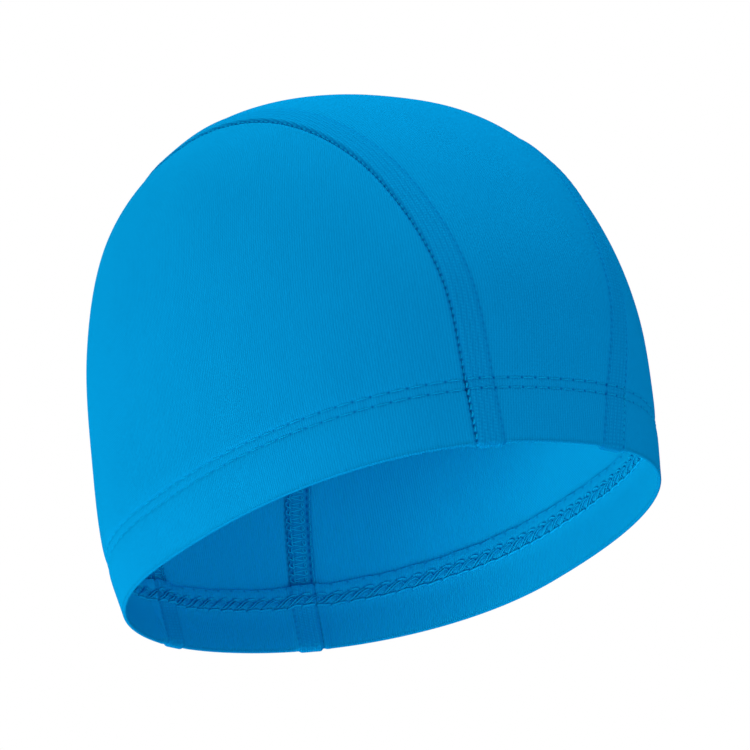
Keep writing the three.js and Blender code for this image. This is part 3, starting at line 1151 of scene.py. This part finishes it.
def knit_material(name, on_crown):
    """Warp knit: upright ribs and short courses, painted shade at the sewing and the fold, and painted
    light inside.
    """
    nodes = Nodes(name)
    ribs = nodes.wave(nodes.value("wale"), RIB_PITCH)
    courses = nodes.wave(nodes.value("course"), COURSE_PITCH)
    weave = nodes.scaled(courses, 0.3, ribs)
    blotch = nodes.noise(scale=45.0, detail=3.0)
    speckle = nodes.noise(scale=1500.0, detail=2.0)

    shade = nodes.math("ADD", hem_shade(nodes, not on_crown), crease_shade(nodes))
    shade = nodes.math("ADD", shade, looper_shade(nodes))
    if on_crown:
        texture, band_shade = seam_band(nodes)
        weave = nodes.scaled(texture, 0.5, weave)
        shade = nodes.math("ADD", shade, band_shade)
    shade = nodes.math("MINIMUM", shade, 1.0)

    mottle = nodes.scaled(blotch, 0.3, nodes.times(speckle, 0.25))
    light = nodes.scaled(weave, 0.55, mottle)
    color = nodes.mix(light, KNIT_DARK, KNIT_LIGHT)
    # Painted light: the inside of the cloth and the turned-in hem are lighter.
    past_fold = nodes.math("POWER", nodes.value("turned_in"), 6.0)
    inner = nodes.math("MAXIMUM", nodes.value("inner"), past_fold)
    color = nodes.mix(nodes.times(inner, INNER_LIGHT_SHARE), color, INNER_LIGHT_COLOR)
    # Painted shade at the rim's fold, which the low lights would otherwise make bright.
    fold = nodes.mound(nodes.value("hem_height"), 0.0, FOLD_SHADE_WIDTH)
    color = nodes.mix(nodes.times(fold, FOLD_SHADE), color, FOLD_SHADE_COLOR)
    # Painted shade of the sewing: needle holes, seam dots, under the looper, between the pads, the
    # allowance's edge.
    color = nodes.mix(shade, color, PAINTED_SHADE_COLOR)
    return finish_cloth(nodes, color, weave, KNIT_BUMP, roughness=0.62, sheen=0.05)


def overlock_material():
    """Cut edges under loops of thread, with columns of painted shade in the gaps between the loops."""
    nodes = Nodes("overlocked_edge")
    distance, running = nodes.value("seam_distance"), nodes.value("seam_run")
    slant = nodes.scaled(distance, 0.6, running)
    ground = nodes.wave(slant, OVERLOCK_STITCH / 4)
    fuzz = nodes.noise(scale=1100.0, detail=3.0)
    light = nodes.scaled(fuzz, 0.7, nodes.times(ground, 0.35))
    color = nodes.mix(light, OVERLOCK_DARK, OVERLOCK_LIGHT)
    gaps = nodes.scaled(nodes.wave(running, OVERLOCK_STITCH, -1.2), 0.75, 0.2)
    dark = 0.0
    for reach, width, share in GAP_SHADE_COLUMNS:
        column = nodes.mound(distance, reach * MM, width * MM)
        dark = nodes.scaled(column, share, dark)
    # Painted shade in the gaps between the loops.
    color = nodes.mix(nodes.times(dark, gaps), color, GAP_SHADE_COLOR)
    return finish_cloth(nodes, color, light, OVERLOCK_BUMP, roughness=0.75, sheen=0.05)


def thread_material(name, dark, light):
    """Matt thread between two colours."""
    nodes = Nodes(name)
    fuzz = nodes.noise(scale=2600.0, detail=2.0)
    color = nodes.mix(fuzz, dark, light)
    return finish_cloth(nodes, color, fuzz, THREAD_BUMP, roughness=0.5, sheen=0.08)


def floor_material():
    """A pale floor with a glow of its own, because the dome of light is weak."""
    nodes = Nodes("pale_floor")
    grain = nodes.add("ShaderNodeTexNoise", Scale=3.0, Detail=2.0)
    color = nodes.mix(grain.outputs[0], FLOOR_DARK, FLOOR_LIGHT)
    return nodes.finished({
        "Base Color": color,
        "Roughness": 0.9,
        "Emission Color": WHITE,
        "Emission Strength": FLOOR_GLOW,
    })


# The camera, the floor and the lights.

def add_camera():
    """The camera stands back from the origin, shifted sideways and up, and leans by its roll."""
    turns = (CAMERA_AZIMUTH, CAMERA_ELEVATION, CAMERA_ROLL)
    azimuth, elevation, roll = (math.radians(turn) for turn in turns)
    back = Vector((
        math.sin(azimuth) * math.cos(elevation),
        -math.cos(azimuth) * math.cos(elevation),
        math.sin(elevation),
    ))
    level = (-back).cross(Vector((0, 0, 1))).normalized()
    upright = level.cross(-back)
    right = level * math.cos(roll) + upright * math.sin(roll)
    up = upright * math.cos(roll) - level * math.sin(roll)
    camera = add_object("camera", bpy.data.cameras.new("camera"))
    camera.data.sensor_width = SENSOR
    camera.data.lens = SENSOR * CAMERA_FOCUS
    camera.data.clip_start = NEAREST_VIEW
    turn = Matrix((right, up, back)).transposed().to_4x4()
    place = back * CAMERA_DISTANCE + right * CAMERA_SLIDE + up * CAMERA_LIFT
    camera.matrix_world = Matrix.Translation(place) @ turn
    bpy.context.scene.camera = camera


def add_floor():
    """A floor far below the cap, out of the photograph's view."""
    mesh = bpy.data.meshes.new("floor")
    half = FLOOR_SIZE / 2
    corners = [(-half, -half), (half, -half), (half, half), (-half, half)]
    mesh.from_pydata([(x, y, FLOOR_LEVEL) for x, y in corners], [], [(0, 1, 2, 3)])
    mesh.materials.append(floor_material())
    add_object("floor", mesh)


def add_light(name, direction, strength, color):
    """A square soft light, whose strength is its light at the cap as a share of a white dome's."""
    lamp = bpy.data.lights.new(name, "AREA")
    lamp.shape = "SQUARE"
    lamp.size = LIGHT_SIZE
    lamp.energy = strength * (math.pi * LIGHT_DISTANCE) ** 2
    lamp.color = color
    light = add_object(name, lamp)
    away = Vector(direction).normalized()
    place = Vector((0, 0, CROWN_HEIGHT / 2)) + away * LIGHT_DISTANCE
    turn = away.to_track_quat("Z", "Y").to_matrix().to_4x4()
    light.matrix_world = Matrix.Translation(place) @ turn


def set_world():
    """A grey dome of light, which the camera sees as the photograph's plain white background."""
    world = bpy.data.worlds.new("studio")
    world.use_nodes = True
    tree = world.node_tree
    dome = tree.nodes["Background"]
    dome.inputs["Color"].default_value = WHITE
    dome.inputs["Strength"].default_value = DOME_LIGHT
    white = tree.nodes.new("ShaderNodeBackground")
    white.inputs["Color"].default_value = WHITE
    seen = tree.nodes.new("ShaderNodeLightPath").outputs["Is Camera Ray"]
    mixed = tree.nodes.new("ShaderNodeMixShader")
    tree.links.new(seen, mixed.inputs[0])
    tree.links.new(dome.outputs[0], mixed.inputs[1])
    tree.links.new(white.outputs[0], mixed.inputs[2])
    tree.links.new(mixed.outputs[0], tree.nodes["World Output"].inputs["Surface"])
    bpy.context.scene.world = world
    bpy.context.scene.view_settings.view_transform = "Standard"


# The scene.

add_camera()
set_world()
add_floor()
for name, direction, strength, color in LIGHTS:
    add_light(name, direction, strength, color)

crown_cloth = knit_material("knit_cloth_crown", True)
side_cloth = knit_material("knit_cloth_side", False)
overlock = overlock_material()
thread = thread_material("blue_thread", THREAD_DARK, THREAD_LIGHT)
loop_thread = thread_material("overlock_thread", LOOP_DARK, LOOP_LIGHT)

crown, crown_hems = crown_panel(crown_cloth)
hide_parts("crown_panel")
hems = list(crown_hems)
trimmings = []
for word in SIDES:
    panel, hem = side_panel(word, side_cloth)
    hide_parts(f"side_panel_{word}")
    hems.append(hem)
    strip = allowance_strip(word, overlock)
    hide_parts(f"seam_allowance_{word}")
    trimmings += [strip, overlock_loops(word, loop_thread), crease_stitches(word, thread)]
trimmings.append(needle_threads(hems, thread))
trimmings.append(looper_threads(hems, thread))
